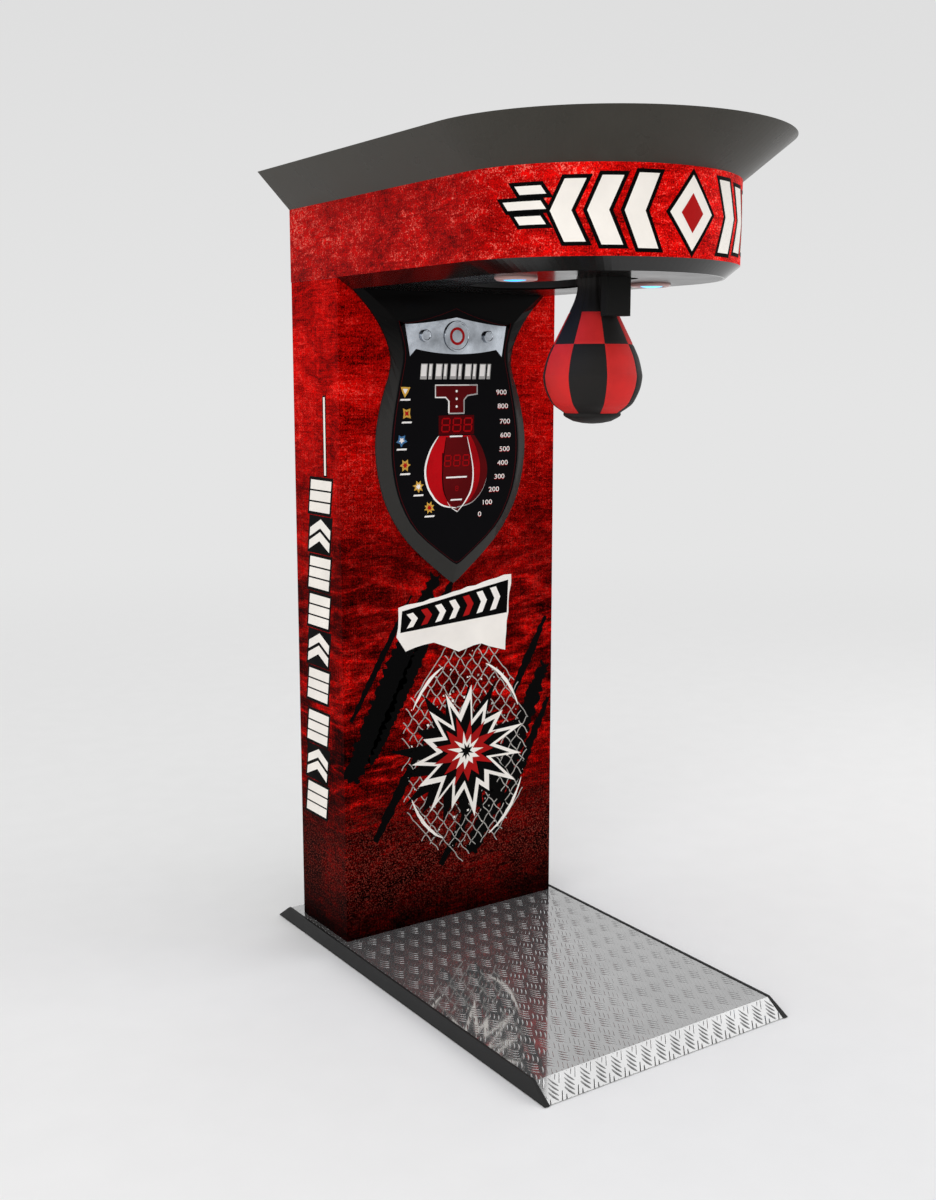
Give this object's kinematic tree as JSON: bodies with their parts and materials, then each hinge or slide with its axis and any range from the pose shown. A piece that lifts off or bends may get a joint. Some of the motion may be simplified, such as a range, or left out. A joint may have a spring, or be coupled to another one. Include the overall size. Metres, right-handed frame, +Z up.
{
  "type": "boxing arcade machine",
  "caption": "Free-standing boxing arcade machine: a striking bag swings under a cantilevered head on a column with a shield-shaped display, over a tread-plate platform.",
  "frame": {"origin": "on the floor, at the centre of the platform", "axes": "+Z up, -Y towards the player, +X to the player's right when facing the machine"},
  "size_m": [0.86, 1.3795, 2.05],
  "materials": {
    "frame_steel": "satin dark grey powder coat",
    "pad_rubber": "matt black rubber",
    "tread_steel": "bright tread plate",
    "black_coat": "black powder coat",
    "zinc": "zinc plated",
    "wheel_rubber": "black rubber",
    "printed_board": "board with glossy printed film",
    "dark_board": "board with dark textured laminate",
    "raw_board": "bare plywood",
    "printed_sheet": "steel sheet with glossy printed film",
    "stainless": "brushed stainless steel",
    "black_plastic": "fine matt moulding",
    "moulded_grey": "glossy dark grey moulding",
    "foam": "closed cell foam",
    "shaft_steel": "ground steel",
    "bearing_iron": "painted casting",
    "arm_aluminium": "black anodised",
    "bag_leather": "red and black panels",
    "cap_leather": "black",
    "disc_aluminium": "satin",
    "latch_steel": "machined",
    "pawl_bronze": "machined bronze",
    "solenoid_coat": "blue coated coil frame",
    "ring_plastic": "glossy pinkish bezel",
    "light_lens": "clear lens lit cyan",
    "display_panel": "glossy black",
    "display_red": "dark red display window",
    "lamp_red": "dark red translucent lens",
    "bright_plate": "bright printed plate",
    "circuit_board": "green circuit board",
    "red_plastic": "glossy red button",
    "supply_case": "folded sheet case"
  },
  "bodies": {
    "cabinet": {"base_frame": "frame_steel", "floor_pads": "pad_rubber", "tread_plate": "tread_steel", "side_plate_left": "black_coat", "side_plate_right": "black_coat", "wheel_brackets": "zinc", "column_floor": "frame_steel", "column_frame": "frame_steel", "column_front": "printed_board", "column_side_left": "printed_board", "column_side_right": "printed_board", "rear_panel": "dark_board", "door_hinges": "zinc", "mains_inlet": "black_plastic", "power_supply": "supply_case", "control_board": "circuit_board", "speaker": "black_plastic", "cash_box": "zinc", "coin_plate": "stainless", "coin_validator": "black_plastic", "coin_chute": "zinc", "head_frame": "frame_steel", "head_base_board": "raw_board", "head_struts": "raw_board", "fascia": "printed_sheet", "skirt": "moulded_grey", "underside_panel": "moulded_grey", "crown": "moulded_grey", "crown_cover": "dark_board", "bay_liner": "black_plastic", "bay_bumper": "foam", "front_stop": "pad_rubber", "light_rings": "ring_plastic", "light_lenses": "light_lens", "shaft_bearings": "bearing_iron", "speed_sensor": "black_plastic", "latch_bracket": "zinc", "solenoid_body": "solenoid_coat", "shield_housing": "moulded_grey", "shield_panel": "display_panel", "shield_crest": "bright_plate", "digit_displays": "display_red", "lamp_lens": "lamp_red"},
    "swing": {"swing_shaft": "shaft_steel", "swing_arm": "arm_aluminium", "bag_body": "bag_leather", "bag_cap": "cap_leather", "speed_disc": "disc_aluminium", "latch_crank": "latch_steel"},
    "pawl": {"latch_pawl": "pawl_bronze"},
    "plunger": {"solenoid_plunger": "shaft_steel"},
    "door": {"service_door": "dark_board", "door_lock_barrel": "zinc"},
    "lock_plug": {"door_lock_plug": "zinc"},
    "reject": {"reject_button": "red_plastic"},
    "flap": {"coin_flap": "stainless"},
    "rocker": {"rocker_switch": "black_plastic"},
    "wheel_l": {"wheel_left": "wheel_rubber"},
    "wheel_r": {"wheel_right": "wheel_rubber"}
  },
  "joints": [
    {"name": "bag_swing", "type": "hinge", "parent": "cabinet", "child": "swing", "pos_m": [0, -0.357, 1.848], "axis": [1, 0, 0], "range_deg": [0, 85]},
    {"name": "pawl_turn", "type": "hinge", "parent": "cabinet", "child": "pawl", "pos_m": [0.114, -0.439, 1.943], "axis": [1, 0, 0], "range_deg": [0, 17]},
    {"name": "plunger_slide", "type": "slide", "parent": "cabinet", "child": "plunger", "axis": [0, 1, 0], "range_m": [0, 0.01]},
    {"name": "door_swing", "type": "hinge", "parent": "cabinet", "child": "door", "pos_m": [-0.269, 0.537, 0.805], "axis": [0, 0, 1], "range_deg": [0, 110]},
    {"name": "lock_turn", "type": "hinge", "parent": "door", "child": "lock_plug", "pos_m": [0.24, 0.522, 0.805], "axis": [0, -1, 0], "range_deg": [0, 90]},
    {"name": "reject_push", "type": "slide", "parent": "cabinet", "child": "reject", "axis": [-1, 0, 0], "range_m": [0, 0.006], "stiffness_N_per_m": 200, "springref_m": -0.003},
    {"name": "flap_swing", "type": "hinge", "parent": "cabinet", "child": "flap", "pos_m": [0.337, 0.4065, 1.007], "axis": [0, 1, 0], "range_deg": [0, 45]},
    {"name": "rocker_tilt", "type": "hinge", "parent": "cabinet", "child": "rocker", "pos_m": [0.23, 0.529, 0.202], "axis": [1, 0, 0], "range_deg": [0, 12]},
    {"name": "wheel_left_spin", "type": "hinge", "parent": "cabinet", "child": "wheel_l", "pos_m": [-0.25, 0.612, 0.027], "axis": [1, 0, 0], "continuous": true},
    {"name": "wheel_right_spin", "type": "hinge", "parent": "cabinet", "child": "wheel_r", "pos_m": [0.25, 0.612, 0.027], "axis": [1, 0, 0], "continuous": true}
  ],
  "couplings": [
    {"joint": "plunger_slide", "follows": "pawl_turn", "m_per_rad": 0.0295}
  ]
}
